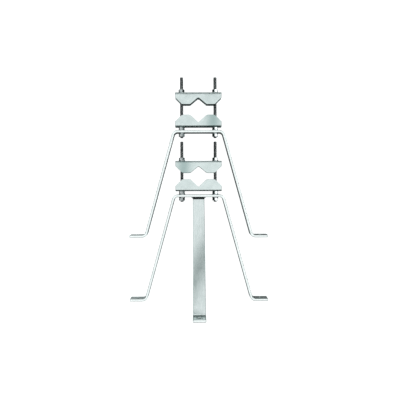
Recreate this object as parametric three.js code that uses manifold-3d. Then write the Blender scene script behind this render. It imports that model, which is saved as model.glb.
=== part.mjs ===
// A pair of stand-off wall brackets that hold a mast, each with a two-stud clamp of V-notched jaws.
// Millimetres. X runs across the brackets, Y away from the wall and Z along the mast.
// Both brackets lie on the edges of their bars at Z = 0. Y = 0 is halfway along the pair.

import * as THREE from 'three';
import { mergeVertices } from 'three/addons/utils/BufferGeometryUtils.js';
import Module from 'manifold-3d';

// Flat bar that both brackets are bent from; the third leg has its thickness and bends
const barWidth = 30;
const barThickness = 6;
const barBendRadius = 8;         // inside of each bend

// Bracket bar: foot, leg, plate, leg, foot
const standOff = 262;            // wall to the plate's outer face
const plateMargin = 21;          // from a stud to the leg's outer face, at the plate's outer face
const footSpan = 340;            // across the tips of the feet
const footLength = 35.5;         // from the leg's outer face to the tip, measured at the wall
const footHoleDiameter = 11;
const footHoleInset = 18;        // from the tip to the hole's centre

// Third leg of the lower bracket
const thirdLegWidth = 28;
const thirdLegHeight = 217;      // tip of its foot, above the bracket's lower edge
const thirdLegFootLength = 27;   // from the leg's outer face to the tip, measured at the wall
const thirdLegHoleInset = 13;    // from the tip to the hole's centre
const thirdLegSetback = 5;       // from the plate's upper edge to where the leg's outer face meets it
const thirdLegFlangeInset = 1;   // from the plate's lower edge to the flange's end
const weldSize = 4;              // leg of the weld's triangle
const weldFullness = 0.75;       // how far the weld's face bulges, as a share of its leg

// M8 studs and what is threaded on them
const studDiameter = 8;
const studLength = 148;
const studChamfer = 1;
const studSpacing = 82;
const studTail = 3;              // past the back nut
const nutAcrossFlats = 13;
const nutHeight = 6.8;
const nutFaceShare = 0.95;       // nut's flat face, as a share of its width across flats
const nutTurns = { left: -15, right: 21 };  // degrees that each side's nuts happen to be turned to
const flatWasherDiameter = 16;
const flatWasherThickness = 1.6;
const springWasherDiameter = 14.8;
const springWasherThickness = 2;
const springWasherSlit = 1.6;

// Fits
const threadClearance = 0.1;     // nut's bore to stud, on the radius
const washerClearance = 0.2;
const holeClearance = 0.5;       // holes in bars and jaws
const seatGap = 0.05;            // between faces that bear on each other
const weldGap = 0.05;

// Clamp jaws: U channels with a V notch in both flanges
const jawMargin = 15.5;          // from a stud to the jaw's end
const jawHeight = 29;
const jawInset = 1;              // from either edge of the bar to the jaw's flange
const jawSheet = 3;
const jawBendRadius = 1;
const jawEndHeight = 12.5;       // straight part of the jaw's ends
const jawLobeEdge = 40;          // from the middle to the lobe's outer corner
const notchHalfWidth = 20;
const outerNotch = { depth: 17, apexRadius: 5 };
const innerNotch = { depth: 18.7, apexRadius: 1 };

// The two brackets
const pairClearance = 9;         // between the lower studs' tips and the upper studs' tails
const upperOpening = 25.5;       // between the lobes of the upper jaws
const lowerOpening = 15.8;
const sides = { left: -1, right: 1 };

// Fineness
const arcStep = THREE.MathUtils.degToRad(15);
const roundSides = 24;

const plateSpan = studSpacing + 2 * plateMargin;
const jawWidth = studSpacing + 2 * jawMargin;
const jawDepth = barWidth - 2 * jawInset;
const thirdLegShoulder = barWidth - thirdLegSetback;
const weldLength = thirdLegShoulder - barBendRadius - barThickness / 2;
const studRadius = studDiameter / 2;
const boltHoleRadius = studRadius + holeClearance;
const barMiddle = barWidth / 2;

// Places along a stud, from the wall
const plateBack = standOff - barThickness;
const backWasherSeat = plateBack - seatGap - springWasherThickness;
const backNutSeat = backWasherSeat - seatGap - nutHeight;
const studStart = backNutSeat - studTail;
const lockWasherSeat = standOff + seatGap;
const lockNutSeat = lockWasherSeat + flatWasherThickness + seatGap;
const innerJawSeat = lockNutSeat + nutHeight + seatGap;

// The pair is laid out with the lower bracket's studs just short of the upper bracket's.
const bracketOffset = studLength + pairClearance;
const pairLength = bracketOffset + studStart + studLength;
const brackets = [
  {
    name: 'upper',
    wall: bracketOffset - pairLength / 2,
    opening: upperOpening,
    innerLobeRadius: 11,
    outerLobeRadius: 4,
    hasThirdLeg: false,
  },
  {
    name: 'lower',
    wall: -pairLength / 2,
    opening: lowerOpening,
    innerLobeRadius: 4,
    outerLobeRadius: 7,
    hasThirdLeg: true,
  },
];

const wasm = await Module();
wasm.setup();

// A closed geometry as a manifold-3d solid.
function toSolid(geometry) {
  const bare = geometry.clone();
  bare.deleteAttribute('normal');
  bare.deleteAttribute('uv');
  const merged = mergeVertices(bare, 1e-4);
  return new wasm.Manifold(new wasm.Mesh({
    numProp: 3,
    vertProperties: merged.attributes.position.array,
    triVerts: Uint32Array.from(merged.index.array),
  }));
}

function toGeometry(solid) {
  const mesh = solid.getMesh();
  const geometry = new THREE.BufferGeometry();
  geometry.setAttribute('position', new THREE.BufferAttribute(mesh.vertProperties, 3));
  geometry.setIndex(new THREE.BufferAttribute(mesh.triVerts, 1));
  geometry.computeVertexNormals();
  return geometry;
}

// A geometry with others cut out of it.
function cut(geometry, cutters) {
  const solid = cutters.reduce((rest, cutter) => rest.subtract(toSolid(cutter)), toSolid(geometry));
  return toGeometry(solid);
}

function common(first, second) {
  return toGeometry(toSolid(first).intersect(toSolid(second)));
}

// Points along straight lines through the corners, with an arc of its own radius at each corner.
function roundCorners(corners, closed) {
  const count = corners.length;
  return corners.flatMap(({ at, radius }, index) => {
    const isEnd = !closed && (index === 0 || index === count - 1);
    if (isEnd || radius === 0) {
      return [at];
    }
    const back = corners[(index + count - 1) % count].at.clone().sub(at).normalize();
    const ahead = corners[(index + 1) % count].at.clone().sub(at).normalize();
    const turn = Math.PI - Math.acos(back.dot(ahead));
    const toCentre = back.clone().add(ahead).setLength(radius / Math.cos(turn / 2));
    const centre = at.clone().add(toCentre);
    const start = at.clone().addScaledVector(back, radius * Math.tan(turn / 2)).sub(centre);
    const sense = Math.sign(ahead.cross(back));
    const steps = Math.max(1, Math.ceil(turn / arcStep));
    return Array.from({ length: steps + 1 }, (_, step) => {
      const angle = start.angle() + sense * turn * step / steps;
      return new THREE.Vector2(Math.cos(angle), Math.sin(angle)).multiplyScalar(radius).add(centre);
    });
  });
}

// The section of a strip of one thickness that is bent along a line of points.
function bentStrip(line, thickness, insideRadius) {
  const normals = line.slice(1).map((point, index) => {
    const along = point.clone().sub(line[index]).normalize();
    return new THREE.Vector2(-along.y, along.x);
  });
  const face = (side) => line.map((point, index) => {
    const before = normals[Math.max(index - 1, 0)];
    const after = normals[Math.min(index, normals.length - 1)];
    const middle = before.clone().add(after).normalize();
    const offset = side * thickness / 2 / middle.dot(after);
    const isInside = side * before.cross(after) > 0;
    const radius = isInside ? insideRadius : insideRadius + thickness;
    return { at: point.clone().addScaledVector(middle, offset), radius };
  });
  const outline = [...roundCorners(face(1), false), ...roundCorners(face(-1), false).reverse()];
  return new THREE.Shape(outline);
}

function extrude(shape, depth) {
  return new THREE.ExtrudeGeometry(shape, { depth, bevelEnabled: false, curveSegments: roundSides / 2 });
}

// A section drawn in Z (across the page) and Y, made `width` wide about X = 0.
function extrudeAcross(shape, width) {
  return extrude(shape, width).rotateY(-Math.PI / 2).translate(width / 2, 0, 0);
}

// A plain pin along Y for cutting round holes.
function holeCutter(radius, x, z, yFrom, yTo) {
  const length = yTo - yFrom;
  return new THREE.CylinderGeometry(radius, radius, length, roundSides).translate(x, yFrom + length / 2, z);
}

// How far the bar's middle line lies inside the leg's outer face, measured along X.
function middleInset(run, rise) {
  return barThickness / 2 * Math.hypot(run, rise) / rise;
}

function makeBracketBar() {
  const legFoot = footSpan / 2 - footLength;
  const legTop = plateSpan / 2;
  const lean = (legFoot - legTop) / standOff;
  const inset = middleInset(legFoot - legTop, standOff);
  const footLine = barThickness / 2;
  const plateLine = standOff - barThickness / 2;
  const half = [
    [footSpan / 2, footLine],
    [legFoot - lean * footLine - inset, footLine],
    [legFoot - lean * plateLine - inset, plateLine],
  ];
  const rightSide = half.map(([x, y]) => new THREE.Vector2(x, y));
  const leftSide = half.map(([x, y]) => new THREE.Vector2(-x, y)).reverse();
  const bar = extrude(bentStrip([...rightSide, ...leftSide], barThickness, barBendRadius), barWidth);
  const footHole = footSpan / 2 - footHoleInset;
  return cut(bar, Object.values(sides).flatMap((side) => [
    holeCutter(footHoleDiameter / 2, side * footHole, barMiddle, -1, barThickness + 1),
    holeCutter(boltHoleRadius, side * studSpacing / 2, barMiddle, plateBack - 1, standOff + 1),
  ]));
}

// Flange under the plate, leg down to the wall and foot, all in the plane X = 0.
function makeThirdLeg() {
  const legFoot = thirdLegHeight - thirdLegFootLength;
  const top = plateBack - weldGap;
  const lean = (legFoot - thirdLegShoulder) / top;
  const inset = middleInset(legFoot - thirdLegShoulder, top);
  const footLine = barThickness / 2;
  const flangeLine = top - barThickness / 2;
  const line = [
    new THREE.Vector2(thirdLegHeight, footLine),
    new THREE.Vector2(legFoot - lean * footLine - inset, footLine),
    new THREE.Vector2(legFoot - lean * flangeLine - inset, flangeLine),
    new THREE.Vector2(thirdLegFlangeInset, flangeLine),
  ];
  const leg = extrudeAcross(bentStrip(line, barThickness, barBendRadius), thirdLegWidth);
  const holeHeight = thirdLegHeight - thirdLegHoleInset;
  return cut(leg, [holeCutter(footHoleDiameter / 2, 0, holeHeight, -1, barThickness + 1)]);
}

// Fillet weld in the corner between the third leg's flange and the plate, with a full face.
function makeWeldBead(side) {
  const bead = new THREE.Shape();
  bead.moveTo(0, 0);
  bead.lineTo(weldSize, 0);
  bead.quadraticCurveTo(weldSize * weldFullness, -weldSize * weldFullness, 0, -weldSize);
  bead.closePath();
  const geometry = extrude(bead, weldLength);
  if (side < 0) {
    geometry.rotateY(Math.PI).translate(0, 0, weldLength);
  }
  return geometry;
}

function makeStud() {
  const tip = studRadius - studChamfer;
  const profile = [
    new THREE.Vector2(0, 0),
    new THREE.Vector2(tip, 0),
    new THREE.Vector2(studRadius, studChamfer),
    new THREE.Vector2(studRadius, studLength - studChamfer),
    new THREE.Vector2(tip, studLength),
    new THREE.Vector2(0, studLength),
  ];
  return new THREE.LatheGeometry(profile, roundSides);
}

// A ring about Y whose wall is the closed outline through the given points.
function ring(points) {
  const profile = [...points, points[0]].map(([radius, y]) => new THREE.Vector2(radius, y));
  return new THREE.LatheGeometry(profile, roundSides);
}

function makeFlatWasher() {
  const bore = studRadius + washerClearance;
  const rim = flatWasherDiameter / 2;
  return ring([[bore, 0], [rim, 0], [rim, flatWasherThickness], [bore, flatWasherThickness]]);
}

// A split ring, pressed flat.
function makeSpringWasher() {
  const rim = springWasherDiameter / 2;
  const bore = studRadius + washerClearance;
  const halfSlit = springWasherSlit / 2 / rim;
  const split = new THREE.Shape();
  split.absarc(0, 0, rim, halfSlit, 2 * Math.PI - halfSlit, false);
  split.absarc(0, 0, bore, 2 * Math.PI - halfSlit, halfSlit, true);
  return extrude(split, springWasherThickness).rotateX(-Math.PI / 2);
}

// A hexagon nut with both faces chamfered at 30 degrees.
function makeNut() {
  const cornerRadius = nutAcrossFlats / Math.sqrt(3);
  const boreRadius = (studRadius + threadClearance) / Math.cos(Math.PI / roundSides);
  const hexagon = new THREE.Shape(Array.from({ length: 6 }, (_, corner) => {
    const angle = corner * Math.PI / 3;
    return new THREE.Vector2(Math.cos(angle), Math.sin(angle)).multiplyScalar(cornerRadius);
  }));
  hexagon.holes.push(new THREE.Path().absarc(0, 0, boreRadius, 0, 2 * Math.PI, true));
  const prism = extrude(hexagon, nutHeight).rotateX(-Math.PI / 2);
  const faceRadius = nutFaceShare * nutAcrossFlats / 2;
  const reach = cornerRadius + 1;
  const drop = (reach - faceRadius) * Math.tan(Math.PI / 6);
  const core = studRadius / 2;
  const doubleCone = ring([
    [core, 0],
    [faceRadius, 0],
    [reach, drop],
    [reach, nutHeight - drop],
    [faceRadius, nutHeight],
    [core, nutHeight],
  ]);
  return common(prism, doubleCone);
}

// Half of the jaw's outline, from the notch's mouth out to the web's end.
function jawHalfOutline(lobeRadius) {
  return [
    { x: notchHalfWidth, y: jawHeight, radius: lobeRadius },
    { x: jawLobeEdge, y: jawHeight, radius: lobeRadius },
    { x: jawWidth / 2, y: jawEndHeight, radius: 1 },
    { x: jawWidth / 2, y: -1, radius: 0 },
  ];
}

// A jaw about the middle of its web, with the web's outer face at Y = 0 and the notch towards +Y.
function makeJaw(notch, lobeRadius) {
  const middle = jawSheet / 2;
  const channelLine = [
    new THREE.Vector2(jawDepth / 2 - middle, jawHeight),
    new THREE.Vector2(jawDepth / 2 - middle, middle),
    new THREE.Vector2(middle - jawDepth / 2, middle),
    new THREE.Vector2(middle - jawDepth / 2, jawHeight),
  ];
  const channel = extrudeAcross(bentStrip(channelLine, jawSheet, jawBendRadius), jawWidth);
  const half = jawHalfOutline(lobeRadius);
  const apex = { x: 0, y: jawHeight - notch.depth, radius: notch.apexRadius };
  const mirrored = half.map((corner) => ({ ...corner, x: -corner.x })).reverse();
  const corners = [apex, ...half, ...mirrored].map(({ x, y, radius }) => (
    { at: new THREE.Vector2(x, y), radius }
  ));
  const outline = new THREE.Shape(roundCorners(corners, true).reverse());
  const blank = extrude(outline, jawDepth + 2).translate(0, 0, -jawDepth / 2 - 1);
  const holes = Object.values(sides).map((side) => (
    holeCutter(boltHoleRadius, side * studSpacing / 2, 0, -1, jawSheet + 1)
  ));
  return cut(common(channel, blank), holes);
}

// Zinc-plated steel. The rolled bar is bright, the pressed jaws a little darker, the threads darker still.
const finishes = {
  bar: { color: '#dbe6e5', roughness: 0.38, metalness: 0.9 },
  jaw: { color: '#c6d3d1', roughness: 0.42, metalness: 0.9 },
  stud: { color: '#6a6f70', roughness: 0.4, metalness: 0.9 },
  fastener: { color: '#8f9697', roughness: 0.3, metalness: 0.95 },
  weld: { color: '#9aa3a3', roughness: 0.55, metalness: 0.85 },
};

// One named piece, placed in its bracket.
function piece(name, geometry, finish, x, y, z) {
  const mesh = new THREE.Mesh(geometry, new THREE.MeshStandardMaterial(finishes[finish]));
  mesh.name = name;
  mesh.position.set(x, y, z);
  return mesh;
}

// A piece centred on the stud of one side.
function onStud(name, sideName, geometry, finish, y) {
  return piece(`${name}_${sideName}`, geometry, finish, sides[sideName] * studSpacing / 2, y, barMiddle);
}

function nutOnStud(name, sideName, y) {
  const nut = onStud(name, sideName, makeNut(), 'fastener', y);
  nut.rotation.y = THREE.MathUtils.degToRad(nutTurns[sideName]);
  return nut;
}

// The stud on one side, with its back nut, lock nut and their washers.
function makeStudSet(prefix, sideName) {
  return [
    onStud(`${prefix}_clamp_stud`, sideName, makeStud(), 'stud', studStart),
    onStud(`${prefix}_back_washer`, sideName, makeSpringWasher(), 'fastener', backWasherSeat),
    nutOnStud(`${prefix}_back_nut`, sideName, backNutSeat),
    onStud(`${prefix}_lock_washer`, sideName, makeFlatWasher(), 'fastener', lockWasherSeat),
    nutOnStud(`${prefix}_lock_nut`, sideName, lockNutSeat),
  ];
}

// Inner jaw on the lock nuts and outer jaw, notches facing, across the opening.
function makeJaws(bracket, outerJawSeat) {
  const innerJaw = makeJaw(innerNotch, bracket.innerLobeRadius);
  const outerJaw = makeJaw(outerNotch, bracket.outerLobeRadius).rotateZ(Math.PI);
  return [
    piece(`${bracket.name}_inner_jaw`, innerJaw, 'jaw', 0, innerJawSeat, barMiddle),
    piece(`${bracket.name}_outer_jaw`, outerJaw, 'jaw', 0, outerJawSeat, barMiddle),
  ];
}

// The washer and nut that press the outer jaw home on one side.
function makeClampNut(prefix, sideName, outerJawSeat) {
  const washerSeat = outerJawSeat + seatGap;
  const nutSeat = washerSeat + flatWasherThickness + seatGap;
  return [
    onStud(`${prefix}_clamp_washer`, sideName, makeFlatWasher(), 'fastener', washerSeat),
    nutOnStud(`${prefix}_clamp_nut`, sideName, nutSeat),
  ];
}

function makeThirdLegSet(prefix) {
  const weldStart = thirdLegFlangeInset + 1;
  const beads = Object.entries(sides).map(([sideName, side]) => {
    const x = side * (thirdLegWidth / 2 + weldGap);
    return piece(`${prefix}_weld_${sideName}`, makeWeldBead(side), 'weld', x, plateBack - weldGap, weldStart);
  });
  return [piece(`${prefix}_third_leg`, makeThirdLeg(), 'bar', 0, 0, 0), ...beads];
}

function makeBracket(bracket) {
  const group = new THREE.Group();
  group.position.y = bracket.wall;
  const outerJawSeat = innerJawSeat + 2 * jawHeight + bracket.opening;
  group.add(piece(`${bracket.name}_bracket_bar`, makeBracketBar(), 'bar', 0, 0, 0));
  group.add(...makeJaws(bracket, outerJawSeat));
  Object.keys(sides).forEach((sideName) => {
    group.add(...makeStudSet(bracket.name, sideName));
    group.add(...makeClampNut(bracket.name, sideName, outerJawSeat));
  });
  if (bracket.hasThirdLeg) {
    group.add(...makeThirdLegSet(bracket.name));
  }
  return group;
}

const pair = new THREE.Group();
brackets.forEach((bracket) => pair.add(makeBracket(bracket)));

export default pair;
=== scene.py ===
import math

import bmesh
import bpy
import numpy as np
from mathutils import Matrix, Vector


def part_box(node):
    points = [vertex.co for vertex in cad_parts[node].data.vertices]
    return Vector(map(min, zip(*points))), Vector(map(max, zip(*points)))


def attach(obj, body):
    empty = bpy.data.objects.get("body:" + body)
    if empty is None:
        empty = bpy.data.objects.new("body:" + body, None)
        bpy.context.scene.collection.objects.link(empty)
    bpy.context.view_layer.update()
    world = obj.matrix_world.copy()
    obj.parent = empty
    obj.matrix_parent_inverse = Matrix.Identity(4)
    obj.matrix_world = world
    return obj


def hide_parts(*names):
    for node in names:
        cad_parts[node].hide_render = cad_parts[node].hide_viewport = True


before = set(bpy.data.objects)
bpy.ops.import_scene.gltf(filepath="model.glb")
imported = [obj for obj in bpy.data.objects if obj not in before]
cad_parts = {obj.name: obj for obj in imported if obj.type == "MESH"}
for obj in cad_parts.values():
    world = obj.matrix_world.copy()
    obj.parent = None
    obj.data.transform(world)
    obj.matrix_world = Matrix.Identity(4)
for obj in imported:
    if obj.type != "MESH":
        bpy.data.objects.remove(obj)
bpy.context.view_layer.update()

# A pair of stand-off brackets for a mast. All sizes below are in millimetres,
# along X across the brackets, Y away from the wall and Z along the mast.
mm = 0.001
sides = {"left": -1, "right": 1}
creaseAngle = 34        # degrees; a mesh edge that turns further stays sharp


def placeOf(node):  # lowest and highest corner of a CAD node, in millimetres
    low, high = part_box(node)
    return np.array(low) / mm, np.array(high) / mm


# ---- node and mesh helpers

def hexColour(code):  # an sRGB hex value turned to linear
    channels = np.array([int(code[i:i + 2], 16) for i in (1, 3, 5)]) / 255
    linear = np.where(channels <= 0.04045, channels / 12.92, ((channels + 0.055) / 1.055) ** 2.4)
    return (*linear, 1)


def addNode(tree, kind, wires=None, **settings):  # a node with its settings, values and links
    node = tree.nodes.new("ShaderNode" + kind)
    for setting, value in settings.items():
        setattr(node, setting, value)
    for socket, value in (wires or {}).items():
        if isinstance(value, bpy.types.NodeSocket):
            tree.links.new(value, node.inputs[socket])
        else:
            node.inputs[socket].default_value = value
    return node


def joinPatches(patches):  # puts grids of points and quads one after another
    starts = np.cumsum([0] + [len(points) for points, _ in patches])
    points = np.concatenate([points for points, _ in patches])
    quads = np.concatenate([faces + start for (_, faces), start in zip(patches, starts)])
    return points, quads


def gridQuads(rows, columns, closedRows=False, closedColumns=False):
    # the quads of a grid, row by row; a closed side joins its last line to its first
    r = np.arange(rows if closedRows else rows - 1)
    c = np.arange(columns if closedColumns else columns - 1)
    r, c = (a.ravel() for a in np.meshgrid(r, c, indexing="ij"))
    below, beside = (r + 1) % rows, (c + 1) % columns
    return np.stack([
        r * columns + c, below * columns + c, below * columns + beside, r * columns + beside], 1)


def makePiece(name, points, quads, body, replaced, steel, layout=None, values=None, caps=()):
    # a mesh in the shared frame; layout is a UV in metres and values are named numbers on its points
    mesh = bpy.data.meshes.new(name)
    mesh.from_pydata((points * mm).tolist(), [], quads.tolist() + [list(cap) for cap in caps])
    if layout is not None:
        corners = np.zeros(len(mesh.loops), np.int32)
        mesh.loops.foreach_get("vertex_index", corners)
        mesh.uv_layers.new(name="layout").data.foreach_set("uv", (layout[corners] * mm).ravel())
    for label, numbers in (values or {}).items():
        attribute = mesh.attributes.new(label, "FLOAT", "POINT")
        attribute.data.foreach_set("value", numbers.astype(np.float32))
    shape = bmesh.new()
    shape.from_mesh(mesh)
    bmesh.ops.remove_doubles(shape, verts=shape.verts, dist=1e-6)
    bmesh.ops.recalc_face_normals(shape, faces=shape.faces)
    shape.to_mesh(mesh)
    shape.free()
    mesh.shade_smooth()
    mesh.set_sharp_from_angle(angle=math.radians(creaseAngle))
    mesh.materials.append(steel)
    piece = bpy.data.objects.new(name, mesh)
    bpy.context.scene.collection.objects.link(piece)
    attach(piece, body)
    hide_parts(replaced)
    return piece


# ---- finishes

# the part of each noise's range that is stretched over a pattern
noiseSpan = {"streaks": (0.3, 0.7), "patches": (0.35, 0.65), "roughness": (0.3, 0.7)}


def platedSteel(name, look):
    # zinc-plated mild steel: two tones of zinc in long streaks, cloudy roughness, fine grain, and a
    # grazing tint, which is the tone of what it mirrors when it is seen edge on
    steel = bpy.data.materials.new(name)
    steel.use_nodes = True
    tree = steel.node_tree
    shader = tree.nodes["Principled BSDF"]
    place = addNode(tree, "TexCoord").outputs["UV" if look["alongPiece"] else "Object"]
    stretched = addNode(tree, "Mapping", {"Vector": place, "Scale": look["stretch"]})
    streaks = addNode(tree, "TexNoise", {
        "Vector": stretched.outputs[0], "Scale": 1 / (look["streakWidth"] * mm),
        "Detail": 4, "Roughness": 0.6})
    clouds = addNode(tree, "TexNoise", {
        "Vector": place, "Scale": 1 / (look["cloudSize"] * mm), "Detail": 5, "Roughness": 0.55})
    grain = addNode(tree, "TexNoise", {
        "Vector": place, "Scale": 1 / (look["grainSize"] * mm), "Detail": 2})
    tone = addNode(tree, "MapRange", {
        "Value": streaks.outputs[0],
        "From Min": noiseSpan["streaks"][0], "From Max": noiseSpan["streaks"][1],
        "To Min": 0, "To Max": 1})
    zinc = addNode(tree, "Mix", {
        "Factor": tone.outputs[0],
        "A": hexColour(look["dull"]), "B": hexColour(look["bright"])}, data_type="RGBA")
    patchy = addNode(tree, "MapRange", {
        "Value": clouds.outputs[0],
        "From Min": noiseSpan["patches"][0], "From Max": noiseSpan["patches"][1],
        "To Min": 0, "To Max": look["cloudiness"]})
    clouded = addNode(tree, "Mix", {
        "Factor": patchy.outputs[0],
        "A": zinc.outputs["Result"], "B": hexColour(look["dull"])}, data_type="RGBA")
    rough = addNode(tree, "MapRange", {
        "Value": clouds.outputs[0],
        "From Min": noiseSpan["roughness"][0], "From Max": noiseSpan["roughness"][1],
        "To Min": look["roughness"][0], "To Max": look["roughness"][1]})
    bump = addNode(tree, "Bump", {
        "Height": grain.outputs[0],
        "Distance": look["grainHeight"] * mm, "Strength": look["grainStrength"]})
    tree.links.new(clouded.outputs["Result"], shader.inputs["Base Color"])
    tree.links.new(rough.outputs[0], shader.inputs["Roughness"])
    tree.links.new(bump.outputs[0], shader.inputs["Normal"])
    shader.inputs["Metallic"].default_value = 1.0
    shader.inputs["Specular Tint"].default_value = hexColour(look["grazing"])
    return steel


# Hot-rolled flat bar, bent and then zinc plated: smooth and pale with faint streaks along the bar.
rolledBarZinc = platedSteel("Zinc-plated rolled flat bar", {
    "alongPiece": True, "stretch": (0.12, 1, 1), "streakWidth": 3.0, "cloudSize": 22, "grainSize": 0.5,
    "bright": "#f0f5f5", "dull": "#dce5e4", "cloudiness": 0.5, "roughness": (0.08, 0.12),
    "grainHeight": 0.004, "grainStrength": 0.25, "grazing": "#ffffff"})

# Cold-rolled sheet, blanked and pressed, then zinc plated: a little darker and softer, with faint
# lines along the jaw and dull clouds.
pressedSheetZinc = platedSteel("Zinc-plated pressed sheet", {
    "alongPiece": True, "stretch": (0.3, 1, 1), "streakWidth": 2.2, "cloudSize": 26, "grainSize": 0.4,
    "bright": "#dce6e5", "dull": "#c4d0cf", "cloudiness": 0.8, "roughness": (0.18, 0.26),
    "grainHeight": 0.006, "grainStrength": 0.25, "grazing": "#ffffff"})

# Cold-forged nuts and punched washers, barrel plated: bright facets with soft glints, darker edge on.
brightFastenerZinc = platedSteel("Bright zinc-plated forging", {
    "alongPiece": False, "stretch": (1, 1, 1), "streakWidth": 2.5, "cloudSize": 5, "grainSize": 0.3,
    "bright": "#e6ebeb", "dull": "#a9b1b2", "cloudiness": 0.5, "roughness": (0.10, 0.18),
    "grainHeight": 0.01, "grainStrength": 0.2, "grazing": "#303434"})

# Cold-rolled thread, zinc plated: bright crests over darker grooves, so a stud looks dark
# grey with a paler line along its top.
rolledThreadZinc = platedSteel("Zinc-plated rolled thread", {
    "alongPiece": False, "stretch": (1, 0.3, 1), "streakWidth": 1.5, "cloudSize": 9, "grainSize": 0.3,
    "bright": "#dde2e2", "dull": "#b0b6b6", "cloudiness": 0.6, "roughness": (0.14, 0.20),
    "grainHeight": 0.01, "grainStrength": 0.2, "grazing": "#303434"})

# Arc weld, brushed and plated over: rough and rippled, greyer than the bar.
weldZinc = platedSteel("Zinc-plated arc weld", {
    "alongPiece": False, "stretch": (1, 1, 1), "streakWidth": 1.2, "cloudSize": 4, "grainSize": 0.35,
    "bright": "#dde4e3", "dull": "#aab2b1", "cloudiness": 0.9, "roughness": (0.34, 0.50),
    "grainHeight": 0.05, "grainStrength": 0.5, "grazing": "#c0c4c4"})


def toneWhere(steel, attribute, colour):  # turns the steel to the colour where the attribute is 1
    tree = steel.node_tree
    socket = tree.nodes["Principled BSDF"].inputs["Base Color"]
    share = addNode(tree, "Attribute", attribute_name=attribute).outputs["Fac"]
    toned = addNode(tree, "Mix", {
        "Factor": share, "A": socket.links[0].from_socket, "B": hexColour(colour)}, data_type="RGBA")
    tree.links.new(toned.outputs["Result"], socket)


toneWhere(rolledThreadZinc, "groove", "#4c5252")        # the thread's grooves, darker than its crests
toneWhere(pressedSheetZinc, "darkerPatch", "#9fb2b0")   # darker towards one lobe of a jaw
toneWhere(rolledBarZinc, "paintedPlateShadow", "#2e3333")           # painted shadow of the plate on the third leg's bend
print("finishes made")


# ---- bent sheet: mid-surfaces that Solidify and Bevel finish

def roundedPath(corners, radius, stepDegrees=6):
    # straight lines through the corners, each inner corner an arc of the radius;
    # gives the points and how far along the path each one lies
    corners = np.array(corners, float)
    points = [corners[:1]]
    for before, at, after in zip(corners[:-2], corners[1:-1], corners[2:]):
        back, ahead = (v / np.linalg.norm(v) for v in (before - at, after - at))
        turn = math.pi - math.acos(back @ ahead)
        centre = at + (back + ahead) / np.linalg.norm(back + ahead) * radius / math.cos(turn / 2)
        start = at + back * radius * math.tan(turn / 2) - centre
        sense = np.sign(ahead[0] * back[1] - ahead[1] * back[0])
        steps = np.linspace(0, 1, 1 + math.ceil(math.degrees(turn) / stepDegrees))
        angles = math.atan2(start[1], start[0]) + sense * turn * steps
        points.append(centre + radius * np.stack([np.cos(angles), np.sin(angles)], 1))
    points = np.concatenate([*points, corners[-1:]])
    along = np.concatenate([[0], np.cumsum(np.linalg.norm(np.diff(points, axis=0), axis=1))])
    return points, along


def stations(marks, spacing):  # the marks, and even steps between them no longer than the spacing
    marks = np.unique(np.round(marks, 5))
    steps = [np.linspace(a, b, 1 + math.ceil((b - a) / spacing - 1e-6))
             for a, b in zip(marks[:-1], marks[1:])]
    return np.unique(np.round(np.concatenate(steps), 5))


def holeMarks(centre, half, lines=7):  # evenly spaced lines across the square that holds a round hole
    return centre + half * np.linspace(-1, 1, lines)


ringShares = (0, 0.35, 0.7, 1)      # how far each ring lies from a hole's circle to its square's edge


def sheetWithHoles(us, vs, holes, half):
    # a flat grid over (u, v); the square about each hole is filled by rings of quads, each a blend
    # of the hole's circle and the square's edge
    cells = gridQuads(len(us), len(vs))
    flat = np.stack([a.ravel() for a in np.meshgrid(us, vs, indexing="ij")], 1)
    middles = flat[cells].mean(1)
    patches = []
    for centre, radius in holes:
        centre = np.array(centre)
        cells = cells[(np.abs(middles - centre) > half).any(1)]
        middles = flat[cells].mean(1)
        u, v = (line[np.abs(line - at) < half + 1e-3] for line, at in zip((us, vs), centre))
        edge = np.concatenate([
            np.stack([u[:-1], np.full(len(u) - 1, v[0])], 1),
            np.stack([np.full(len(v) - 1, u[-1]), v[:-1]], 1),
            np.stack([u[:0:-1], np.full(len(u) - 1, v[-1])], 1),
            np.stack([np.full(len(v) - 1, u[0]), v[:0:-1]], 1)])
        angle = np.arctan2(*(edge - centre).T[::-1])
        circle = centre + radius * np.stack([np.cos(angle), np.sin(angle)], 1)
        rings = circle + (edge - circle) * np.array(ringShares)[:, None, None]
        quads = gridQuads(len(ringShares), len(edge), closedColumns=True)
        patches.append((rings.reshape(-1, 2), quads))
    return joinPatches([(flat, cells), *patches])


edgeFinish = {"segments": 3, "sharperThan": 50}     # arcs of a rounded edge, and the turn that gets one


def finishSheet(piece, thickness, edgeRound):  # gives the mid-surface its thickness and rounded edges
    solid = piece.modifiers.new("thickness", "SOLIDIFY")
    solid.thickness = thickness * mm
    solid.offset = 0
    solid.use_even_offset = True
    edge = piece.modifiers.new("edges", "BEVEL")
    edge.width = edgeRound * mm
    edge.segments = edgeFinish["segments"]
    edge.limit_method = "ANGLE"
    edge.angle_limit = math.radians(edgeFinish["sharperThan"])
    edge.use_clamp_overlap = False
    edge.harden_normals = True


# the third leg shares the thickness, bends, edges and foot hole
bar = {
    "width": 30, "thickness": 6, "insideBend": 8, "edgeRound": 1.2,
    "plateSpan": 124, "footLength": 35.5, "footHole": 11, "footHoleInset": 18, "studHole": 9,
    "studSpacing": 82, "holeSquare": 7.6, "spacing": 14,
}


def legLine(tip, foot, shoulder, rise):
    # one side of a bar's middle line, from the foot's tip up to the top: the leg's outer face runs
    # from `foot` at the wall to `shoulder` at the top face
    half = bar["thickness"] / 2
    lean = (foot - shoulder) / rise
    inset = half * math.hypot(foot - shoulder, rise) / rise
    top = rise - half
    return [(tip, half), (foot - lean * half - inset, half), (foot - lean * top - inset, top)]


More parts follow.
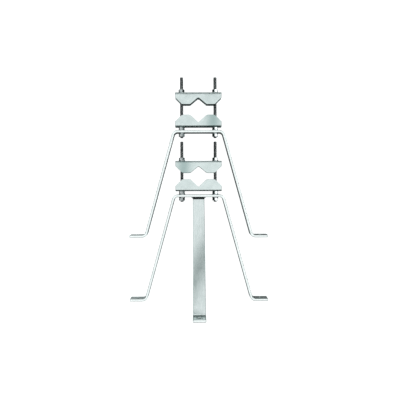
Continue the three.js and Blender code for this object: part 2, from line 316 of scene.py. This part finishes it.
def makeBracketBar(prefix):
    # the bar's line in X and Y, carried along Z across the bar's width
    low, high = placeOf(prefix + "_bracket_bar")
    rise = high[1] - low[1]
    side = legLine(high[0], high[0] - bar["footLength"], bar["plateSpan"] / 2, rise)
    line, along = roundedPath(
        [*side, *[(-x, y) for x, y in side[::-1]]], bar["insideBend"] + bar["thickness"] / 2)
    centre, square = bar["width"] / 2, bar["holeSquare"]
    middle = along[-1] / 2
    holes = [((middle + s * bar["studSpacing"] / 2, centre), bar["studHole"] / 2) for s in (-1, 1)]
    holes += [((u, centre), bar["footHole"] / 2)
              for u in (bar["footHoleInset"], along[-1] - bar["footHoleInset"])]
    us = stations(np.concatenate([along, *[holeMarks(c[0], square) for c, _ in holes]]), bar["spacing"])
    vs = stations([0, *holeMarks(centre, square), bar["width"]], bar["spacing"])
    sheet, quads = sheetWithHoles(us, vs, holes, square)
    x, y = (np.interp(sheet[:, 0], along, line[:, axis]) for axis in (0, 1))
    points = np.stack([x, y + low[1], low[2] + sheet[:, 1]], 1)
    piece = makePiece(prefix + "BracketBar", points, quads, "brackets", prefix + "_bracket_bar",
                      rolledBarZinc, layout=sheet)
    finishSheet(piece, bar["thickness"], bar["edgeRound"])


thirdLeg = {
    "shoulder": 25, "footLength": 27, "holeInset": 13,
    # the painted shadow: heights it fades in over, depths below the plate it fades out over, and how
    # strong
    "paintedShadowRise": (8, 14), "paintedShadowDepth": (5.9, 8.2), "paintedPlateShadow": 0.95,
}


def makeThirdLeg(prefix):
    # a bar of the brackets' thickness and bends: its line in Z and Y, carried along X across its
    # own width, with the plate's shadow painted in a band at the bend below the plate
    low, high = placeOf(prefix + "_third_leg")
    rise = high[1] - low[1]
    side = legLine(high[2], high[2] - thirdLeg["footLength"], thirdLeg["shoulder"], rise)
    line, along = roundedPath([*side, (low[2], side[-1][1])], bar["insideBend"] + bar["thickness"] / 2)
    square = bar["holeSquare"]
    hole = (thirdLeg["holeInset"], 0.0)
    us = stations(np.concatenate([along, holeMarks(hole[0], square)]), bar["spacing"])
    vs = stations([low[0], *holeMarks(0, square), high[0]], bar["spacing"])
    sheet, quads = sheetWithHoles(us, vs, [(hole, bar["footHole"] / 2)], square)
    z, y = (np.interp(sheet[:, 0], along, line[:, axis]) for axis in (0, 1))
    points = np.stack([sheet[:, 1], y + low[1], z], 1)
    # painted shadow: the bend just below the plate is darkened as if the plate shaded it
    fadeIn = np.interp(z, thirdLeg["paintedShadowRise"], (0, 1))
    fadeOut = np.interp(rise - y, thirdLeg["paintedShadowDepth"], (1, 0))
    paintedPlateShadow = thirdLeg["paintedPlateShadow"] * fadeIn * fadeOut
    piece = makePiece(prefix + "ThirdLeg", points, quads, "brackets", prefix + "_third_leg",
                      rolledBarZinc, layout=sheet, values={"paintedPlateShadow": paintedPlateShadow})
    finishSheet(piece, bar["thickness"], bar["edgeRound"])


jaw = {
    "sheet": 3, "insideBend": 1, "edgeRound": 0.5, "height": 29, "endHeight": 12.5, "endRadius": 1,
    "lobeEdge": 40, "notchHalfWidth": 20, "hole": 9, "holeSquare": 6.4, "spacing": 5, "leastStep": 0.02,
    "outlineStep": 9, "bendStep": 15,                   # degrees between the points of an arc
    "innerNotch": (18.7, 1), "outerNotch": (17, 5),     # depth and radius at the bottom
    # radius of the lobes' corners
    "lobes": {"upper_inner": 11, "upper_outer": 4, "lower_inner": 4, "lower_outer": 7},
    "darkerPatch": {"upper_inner": 36, "lower_outer": -36}, "darkerSpread": 17,   # where a jaw is darker, and how far it spreads
}


def jawOutline(halfWidth, notch, lobe):
    # the flange's height against x: notch, lobe, chamfer and end, each corner with its own radius
    corners = [((0, jaw["height"] - notch[0]), notch[1]),
               ((jaw["notchHalfWidth"], jaw["height"]), lobe), ((jaw["lobeEdge"], jaw["height"]), lobe),
               ((halfWidth, jaw["endHeight"]), jaw["endRadius"])]
    ends = [(-corners[1][0][0], corners[1][0][1]), *[c for c, _ in corners], (halfWidth, 0)]
    pieces = []
    for index, (_, radius) in enumerate(corners):
        arc, _ = roundedPath(ends[index:index + 3], radius, jaw["outlineStep"])
        pieces.append(arc[1:-1])
    right = np.concatenate(pieces)
    right = right[right[:, 0] >= 0]
    outline = np.concatenate([right[::-1] * (-1, 1), right])
    keep = np.concatenate([[True], np.diff(outline[:, 0]) > 1e-4])
    return outline[keep]


def makeJaw(prefix, which):
    # a U section in Z and Y, carried along X; each flange stretches up to the outline's height
    kind = f"{prefix}_{which}"
    node = kind + "_jaw"
    low, high = placeOf(node)
    outline = jawOutline(high[0], jaw[which + "Notch"], jaw["lobes"][kind])
    middle, bend = jaw["sheet"] / 2, jaw["insideBend"] + jaw["sheet"] / 2
    flange = (high[2] - low[2]) / 2 - middle
    base = middle + bend                    # where the bends end and the flanges start
    reach = jaw["height"] - base
    section, along = roundedPath(
        [(flange, base + reach), (flange, middle), (-flange, middle), (-flange, base + reach)],
        bend, jaw["bendStep"])
    web, square = along[-1] / 2, jaw["holeSquare"]
    holes = [((web, s * bar["studSpacing"] / 2), jaw["hole"] / 2) for s in (-1, 1)]
    us = stations(np.concatenate([along, holeMarks(web, square)]), jaw["spacing"])
    marks = np.concatenate([outline[:, 0], *[holeMarks(c[1], square) for c, _ in holes]])
    vs = stations(marks, jaw["spacing"])
    vs = vs[np.concatenate([[True], np.diff(vs) > jaw["leastStep"]])]
    sheet, quads = sheetWithHoles(us, vs, holes, square)
    z, y = (np.interp(sheet[:, 0], along, section[:, axis]) for axis in (0, 1))
    height = np.interp(sheet[:, 1], outline[:, 0], outline[:, 1])
    y = np.where(y > base, base + (y - base) / reach * (height - base), y)
    sense, foot = (1, low[1]) if which == "inner" else (-1, high[1])
    points = np.stack([sense * sheet[:, 1], foot + sense * y, z + (low[2] + high[2]) / 2], 1)
    darkerPatchAt = jaw["darkerPatch"].get(kind, math.inf)     # a jaw without a darker place has it nowhere
    darkerShare = np.exp(-((points[:, 0] - darkerPatchAt) / jaw["darkerSpread"]) ** 2)
    piece = makePiece(f"{prefix}{which.capitalize()}Jaw", points, quads, node, node,
                      pressedSheetZinc, layout=sheet[:, ::-1], values={"darkerPatch": darkerShare})
    finishSheet(piece, jaw["sheet"], jaw["edgeRound"])


# ---- turned pieces: functions of the angle about the stud and of a profile

stud = {
    "diameter": 8, "pitch": 1.25, "threadDepth": 0.677, "chamfer": 1.0, "sides": 32,
    # the lines of one turn: how far each lies along the pitch, and how deep, as a share of the thread
    # (crest from 0 to 0.125, flank, root from 0.4375 to 0.6875 with a dip in its middle)
    "linePlaces": (0, 0.125, 0.4375, 0.5625, 0.6875), "lineDepths": (0, 0, 1, 1, 1),
    "dip": 0.06, "dipLine": 3,
}


def makeStud(prefix, side):
    # the radius follows the thread's 60 degree profile; every line round the stud climbs one pitch
    # a turn, so crests and roots are whole helices, and a 45 degree cone trims both ends
    node = f"{prefix}_clamp_stud_{side}"
    low, high = placeOf(node)
    length, radius = high[1] - low[1], stud["diameter"] / 2
    depths = stud["threadDepth"] * np.array(stud["lineDepths"])
    depths[stud["dipLine"]] += stud["dip"]
    turns = np.arange(-1, math.ceil(length / stud["pitch"]) + 1)
    rows = (turns[:, None] + np.array(stud["linePlaces"])).ravel()
    depth = np.tile(depths, len(turns))
    turn = np.arange(stud["sides"] + 1) / stud["sides"]
    height = (rows[:, None] + turn) * stud["pitch"]
    cone = radius - stud["chamfer"] + np.minimum(height, length - height)
    around = np.minimum(radius - depth[:, None], np.maximum(cone, radius - stud["chamfer"]))
    height = np.clip(height, 0, length)
    groove = np.clip((radius - around) / stud["threadDepth"], 0, 1)
    angle = 2 * math.pi * turn
    centre = (low + high) / 2
    points = np.stack([
        centre[0] + around * np.cos(angle), low[1] + height, centre[2] + around * np.sin(angle)], 2)
    quads = gridQuads(*height.shape)
    count = height.size
    ends = np.array([[centre[0], y, centre[2]] for y in (low[1], high[1])])
    first, last = np.arange(stud["sides"]), count - 1 - np.arange(stud["sides"])
    fans = [[a, b, count] for a, b in zip(first, first + 1)]
    fans += [[a, b, count + 1] for a, b in zip(last, last - 1)]
    points = np.concatenate([points.reshape(-1, 3), ends])
    makePiece(f"{prefix}ClampStud{side.capitalize()}", points, quads,
              "brackets", node, rolledThreadZinc,
              values={"groove": np.append(groove.ravel(), [0, 0])}, caps=fans)


nut = {
    "acrossFlats": 13, "faceShare": 0.95, "bore": 4.12, "countersink": 0.7, "cornerSharpness": 70,
    "turned": {"left": -15, "right": 21},     # degrees that each side's nuts are turned to
    # degrees about a flat's middle, closer near the corners
    "lines": (-30, -28.8, -26.5, -22, -15, -7, 0, 7, 15, 22, 26.5, 28.8),
    # the softened edge between chamfer and flat: how far in and towards the face it starts, and how
    # far down the flat it ends
    "easeIn": 0.12, "easeUp": 0.07, "easeDown": 0.05,
    "leastChamfer": 0.02, "innerFace": 0.9,   # least width of the chamfer, and a ring on the face
}


def makeNut(prefix, kind, side, body):
    # the hexagon's radius is half its width across flats over a soft maximum of the cosines to the six
    # flats, which rounds its corners slightly; a 30 degree cone cuts both faces
    node = f"{prefix}_{kind}_nut_{side}"
    low, high = placeOf(node)
    height, centre = high[1] - low[1], (low + high) / 2
    degrees = (np.arange(6)[:, None] * 60 + 30 + np.array(nut["lines"])).ravel()
    power = nut["cornerSharpness"]
    flats = np.clip(np.cos(np.radians(degrees[:, None] - 30 - 60 * np.arange(6))), 0, None)
    hexagon = nut["acrossFlats"] / 2 / (flats ** power).sum(1) ** (1 / power)
    face = nut["faceShare"] * nut["acrossFlats"] / 2
    drop = np.clip(hexagon - face, nut["leastChamfer"], None) * math.tan(math.pi / 6)
    sink = nut["countersink"]
    one = np.ones(len(degrees))
    lower = [(nut["bore"] * one, sink * one), ((nut["bore"] + sink) * one, 0 * one),
             (face * nut["innerFace"] * one, 0 * one), (face * one, 0 * one),
             (hexagon - nut["easeIn"], drop - nut["easeUp"]), (hexagon, drop + nut["easeDown"])]
    upper = [(radius, height - rise) for radius, rise in lower[::-1]]
    radii, rises = (np.array(values) for values in zip(*lower, *upper))
    angle = np.radians(degrees - nut["turned"][side])
    points = np.stack([
        centre[0] + radii * np.cos(angle), low[1] + rises, centre[2] + radii * np.sin(angle)], 2)
    quads = gridQuads(len(radii), len(degrees), True, True)
    makePiece(f"{prefix}{kind.capitalize()}Nut{side.capitalize()}", points.reshape(-1, 3), quads,
              body, node, brightFastenerZinc)


flatWasher = {"bore": 4.2, "edgeRound": 0.25, "sides": 72}
springWasher = {"bore": 4.2, "edgeRound": 0.2, "sides": 66, "slit": 1.6, "slant": 0.8}
cornerSteps = (0, 30, 60, 90)      # degrees of the points on a washer's rounded corner


def roundedSection(inner, outer, height, corner):
    # a washer's section: a rectangle with a quarter circle at each corner
    quarter = np.radians(cornerSteps)
    centres = [(outer - corner, height - corner), (inner + corner, height - corner),
               (inner + corner, corner), (outer - corner, corner)]
    turned = [quarter + k * math.pi / 2 for k in range(4)]
    arcs = [np.stack([x + corner * np.cos(angle), y + corner * np.sin(angle)], 1)
            for (x, y), angle in zip(centres, turned)]
    return np.concatenate(arcs)


def makeFlatWasher(prefix, kind, side, body):
    # the section turned about the stud
    node = f"{prefix}_{kind}_washer_{side}"
    low, high = placeOf(node)
    centre = (low + high) / 2
    section = roundedSection(
        flatWasher["bore"], (high[2] - low[2]) / 2, high[1] - low[1], flatWasher["edgeRound"])
    angle = np.linspace(0, 2 * math.pi, flatWasher["sides"], endpoint=False)[:, None]
    radius, rise = section.T
    points = np.stack([
        centre[0] + radius * np.cos(angle), low[1] + rise + 0 * angle,
        centre[2] + radius * np.sin(angle)], 2)
    quads = gridQuads(len(angle), len(section), True, True)
    makePiece(f"{prefix}{kind.capitalize()}Washer{side.capitalize()}", points.reshape(-1, 3), quads,
              body, node, brightFastenerZinc)


def makeSpringWasher(prefix, side):
    # the section turned from one lip of the slit to the other; the slit slants across the thickness
    node = f"{prefix}_back_washer_{side}"
    low, high = placeOf(node)
    outer, thickness = (high[2] - low[2]) / 2, high[1] - low[1]
    centreX = low[0] + outer
    section = roundedSection(springWasher["bore"], outer, thickness, springWasher["edgeRound"])
    radius, rise = section.T
    halfSlit = springWasher["slit"] / 2 / outer
    slant = springWasher["slant"] / outer * (rise / thickness - 0.5)
    share = np.linspace(0, 1, springWasher["sides"])[:, None]
    angle = slant + halfSlit + (2 * math.pi - 2 * halfSlit) * share
    points = np.stack([centreX + radius * np.cos(angle), low[1] + rise + 0 * angle,
                       (low[2] + high[2]) / 2 + radius * np.sin(angle)], 2)
    count = len(section)
    quads = gridQuads(len(share), count, False, True)
    lips = [list(range(count)), list(range((len(share) - 1) * count, len(share) * count))]
    makePiece(f"{prefix}BackWasher{side.capitalize()}", points.reshape(-1, 3), quads,
              "brackets", node, brightFastenerZinc, caps=lips)


weld = {
    "fullness": 0.75, "ripple": 1.7, "rippleDepth": 0.32, "rippleRise": 0.6, "bow": 0.9, "endRun": 2.2,
    "rows": 90, "columns": 15,
}


def makeWeld(prefix, side):
    # a fillet along Z whose full face swells and sinks with each ripple; the ripples bow along the
    # seam, and both ends round off to the corner
    node = f"{prefix}_weld_{side}"
    low, high = placeOf(node)
    size, length = high[0] - low[0], high[2] - low[2]
    sense = sides[side]
    t = np.linspace(0, 1, weld["columns"])
    along = np.linspace(0, length, weld["rows"])[:, None]
    ripple = (along / weld["ripple"] + weld["bow"] * (t - 0.5) ** 2 * 4) % 1
    swell = 1 - weld["rippleDepth"] / size * (1 - ripple ** weld["rippleRise"])
    fromEnd = np.minimum(along, length - along) / weld["endRun"]
    rounding = np.sqrt(np.clip(1 - (1 - fromEnd).clip(0) ** 2, 0, 1))
    reach = size * weld["fullness"]
    faceX = (1 - t) ** 2 * size + 2 * t * (1 - t) * reach
    faceY = 2 * t * (1 - t) * reach + t ** 2 * size
    scale = swell * rounding
    x = np.concatenate([faceX * scale, 0 * along], 1)
    y = np.concatenate([faceY * scale, 0 * along], 1)
    root = low[0] if sense > 0 else high[0]
    points = np.stack([root + sense * x, high[1] - y, low[2] + along + 0 * x], 2)
    quads = gridQuads(len(along), len(t) + 1, False, True)
    makePiece(f"{prefix}Weld{side.capitalize()}", points.reshape(-1, 3), quads,
              "brackets", node, weldZinc)


for prefix in ("upper", "lower"):
    makeBracketBar(prefix)
    for which in ("inner", "outer"):
        makeJaw(prefix, which)
    for side in sides:
        makeStud(prefix, side)
        makeSpringWasher(prefix, side)
        makeNut(prefix, "back", side, "brackets")
        makeFlatWasher(prefix, "lock", side, "brackets")
        makeNut(prefix, "lock", side, "brackets")
        makeFlatWasher(prefix, "clamp", side, f"{prefix}_outer_jaw")
        makeNut(prefix, "clamp", side, f"{prefix}_clamp_nut_{side}")
    print(prefix, "bracket made")
makeThirdLeg("lower")
for side in sides:
    makeWeld("lower", side)
print("third leg and welds made")


# ---- stage: white floor, soft light from above and from both sides

floorLook = {
    "reach": 3.0, "roughness": 0.9,             # metres from the middle to an edge
    "glow": 1.01, "glowTint": "#fdfefe",        # what makes it evenly white to the camera
    "left": "#c6c9c9", "right": "#868989",      # its own tones, which only light and mirrors meet
    "fade": (-150, -50),                        # along X, from the left tone to the right one
}


def makeFloor():
    # matt paper that looks evenly white, yet mirrors in the steel as a soft grey, paler on the left
    reach = floorLook["reach"]
    corners = [(-reach, -reach, 0), (reach, -reach, 0), (reach, reach, 0), (-reach, reach, 0)]
    mesh = bpy.data.meshes.new("floor")
    mesh.from_pydata(corners, [], [(0, 1, 2, 3)])
    paper = bpy.data.materials.new("White backdrop paper")
    paper.use_nodes = True
    tree = paper.node_tree
    shader = tree.nodes["Principled BSDF"]
    place = addNode(tree, "TexCoord").outputs["Object"]
    across = addNode(tree, "SeparateXYZ", {"Vector": place}).outputs["X"]
    fade = addNode(tree, "MapRange", {
        "Value": across, "From Min": floorLook["fade"][0] * mm, "From Max": floorLook["fade"][1] * mm,
        "To Min": 0, "To Max": 1}, interpolation_type="SMOOTHSTEP")
    shade = addNode(tree, "Mix", {
        "Factor": fade.outputs[0],
        "A": hexColour(floorLook["left"]), "B": hexColour(floorLook["right"])}, data_type="RGBA")
    tree.links.new(shade.outputs["Result"], shader.inputs["Base Color"])
    shader.inputs["Roughness"].default_value = floorLook["roughness"]
    glow = addNode(tree, "Emission", {
        "Color": hexColour(floorLook["glowTint"]), "Strength": floorLook["glow"]})
    lit = addNode(tree, "AddShader", {0: glow.outputs[0], 1: shader.outputs[0]})
    seen = addNode(tree, "LightPath").outputs["Is Camera Ray"]
    mix = addNode(tree, "MixShader", {0: seen, 1: shader.outputs[0], 2: lit.outputs[0]})
    tree.links.new(mix.outputs[0], tree.nodes["Material Output"].inputs["Surface"])
    mesh.materials.append(paper)
    floor = bpy.data.objects.new("floor", mesh)
    bpy.context.scene.collection.objects.link(floor)


# in metres, each turned to face the aim; the radiance is how bright its face looks
softboxes = {
    "overhead softbox": {"place": (0.0, 0.0, 2.2), "size": (1.7, 2.0), "radiance": 1.14},
    "right softbox": {"place": (1.3, 0.35, 1.45), "size": (1.6, 0.7), "radiance": 2.4},
    "left softbox": {"place": (-1.05, 0.35, 1.8), "size": (1.6, 0.5), "radiance": 0.8},
}
softboxAim = (0, 0, 0.03)


def addSoftbox(name, look):
    lamp = bpy.data.lights.new(name, "AREA")
    lamp.shape = "RECTANGLE"
    lamp.size, lamp.size_y = look["size"]
    lamp.energy = look["radiance"] * math.pi * lamp.size * lamp.size_y
    box = bpy.data.objects.new(name, lamp)
    box.location = look["place"]
    towards = Vector(softboxAim) - Vector(look["place"])
    box.rotation_euler = towards.to_track_quat("-Z", "Y").to_euler()
    bpy.context.scene.collection.objects.link(box)


studio = {
    "low": 0.05, "high": 0.95,                  # strength of the dim parts, and what the lit ones add
    "dimTint": "#b9d6d2", "litTint": "#f6fafa",
    # the glow is the product of these: axis of the direction, start and end, value before and after
    "glowFades": [("Z", -0.12, 0.22, 0, 1), ("Z", 0.68, 0.80, 1, 0),
                  ("Y", 0.4, 0.62, 0, 1), ("X", 0.03, 0.16, 1, 0)],
    # the dark stand that crosses the glow: its height at X = 0, slope, half width and darkness
    "streakAt": 0.567, "streakSlope": -1.55, "streakWidth": 0.043, "streak": 0.85,
    "corners": (0.5, 0.95), "cornerGlow": 0.75, "cornerTop": (0.8, 0.92),
}


def makeStudio():
    # the room by direction: dim, with a glow behind the pair from the horizon up, which a dark stand
    # crosses as a slanting streak, and four brighter corners; the camera itself sees plain white
    world = bpy.data.worlds.new("studio")
    bpy.context.scene.world = world
    world.use_nodes = True
    sky = world.node_tree
    background = sky.nodes["Background"]
    towards = addNode(sky, "SeparateXYZ", {"Vector": addNode(sky, "TexCoord").outputs["Generated"]})

    slant = addNode(sky, "Math", {
        0: towards.outputs["X"], 1: studio["streakSlope"], 2: studio["streakAt"]},
        operation="MULTIPLY_ADD")
    off = addNode(sky, "Math", {0: towards.outputs["Z"], 1: slant.outputs[0]}, operation="SUBTRACT")
    apart = addNode(sky, "Math", {0: off.outputs[0]}, operation="ABSOLUTE")
    dim = addNode(sky, "MapRange", {
        "Value": apart.outputs[0], "From Min": 0, "From Max": studio["streakWidth"],
        "To Min": 1 - studio["streak"], "To Max": 1}, interpolation_type="SMOOTHSTEP")
    glow = dim.outputs[0]
    for axis, start, end, before, after in studio["glowFades"]:
        fade = addNode(sky, "MapRange", {
            "Value": towards.outputs[axis], "From Min": start, "From Max": end,
            "To Min": before, "To Max": after}, interpolation_type="SMOOTHSTEP")
        glow = addNode(sky, "Math", {0: glow, 1: fade.outputs[0]}, operation="MULTIPLY").outputs[0]

    # the corners are where the sine of twice the heading is large
    heading = addNode(sky, "Math", {
        0: towards.outputs["Y"], 1: towards.outputs["X"]}, operation="ARCTAN2")
    twice = addNode(sky, "Math", {0: heading.outputs[0], 1: 2.0}, operation="MULTIPLY")
    wave = addNode(sky, "Math", {0: twice.outputs[0]}, operation="SINE")
    diagonal = addNode(sky, "Math", {0: wave.outputs[0]}, operation="ABSOLUTE")
    corner = addNode(sky, "MapRange", {
        "Value": diagonal.outputs[0],
        "From Min": studio["corners"][0], "From Max": studio["corners"][1],
        "To Min": 0, "To Max": studio["cornerGlow"]}, interpolation_type="SMOOTHSTEP")
    below = addNode(sky, "MapRange", {
        "Value": towards.outputs["Z"],
        "From Min": studio["cornerTop"][0], "From Max": studio["cornerTop"][1],
        "To Min": 1, "To Max": 0}, interpolation_type="SMOOTHSTEP")
    corners = addNode(sky, "Math", {0: corner.outputs[0], 1: below.outputs[0]}, operation="MULTIPLY")

    lit = addNode(sky, "Math", {0: glow, 1: corners.outputs[0]}, operation="MAXIMUM")
    strength = addNode(sky, "Math", {
        0: lit.outputs[0], 1: studio["high"], 2: studio["low"]}, operation="MULTIPLY_ADD")
    tint = addNode(sky, "Mix", {
        "Factor": lit.outputs[0],
        "A": hexColour(studio["dimTint"]), "B": hexColour(studio["litTint"])}, data_type="RGBA")
    sky.links.new(strength.outputs[0], background.inputs["Strength"])
    sky.links.new(tint.outputs["Result"], background.inputs["Color"])
    white = addNode(sky, "Background", {"Color": hexColour("#ffffff"), "Strength": 1.0})
    seen = addNode(sky, "LightPath").outputs["Is Camera Ray"]
    shown = addNode(sky, "MixShader", {0: seen, 1: background.outputs[0], 2: white.outputs[0]})
    sky.links.new(shown.outputs[0], sky.nodes["World Output"].inputs["Surface"])


camera = {"place": (-6.7, 7.7, 1208.3), "tilt": (-1.62, -0.49, -0.19), "lens": 43.46, "sensor": 36}


def makeCamera():
    # straight above the pair and looking down, but for about two degrees
    eye = bpy.data.objects.new("camera", bpy.data.cameras.new("camera"))
    eye.data.sensor_width = camera["sensor"]
    eye.data.lens = camera["lens"]
    eye.location = [value * mm for value in camera["place"]]
    eye.rotation_euler = [math.radians(value) for value in camera["tilt"]]
    bpy.context.scene.collection.objects.link(eye)
    bpy.context.scene.camera = eye


makeFloor()
for name, look in softboxes.items():
    addSoftbox(name, look)
makeStudio()
makeCamera()
bpy.context.scene.view_settings.view_transform = "Standard"
print("stage set")
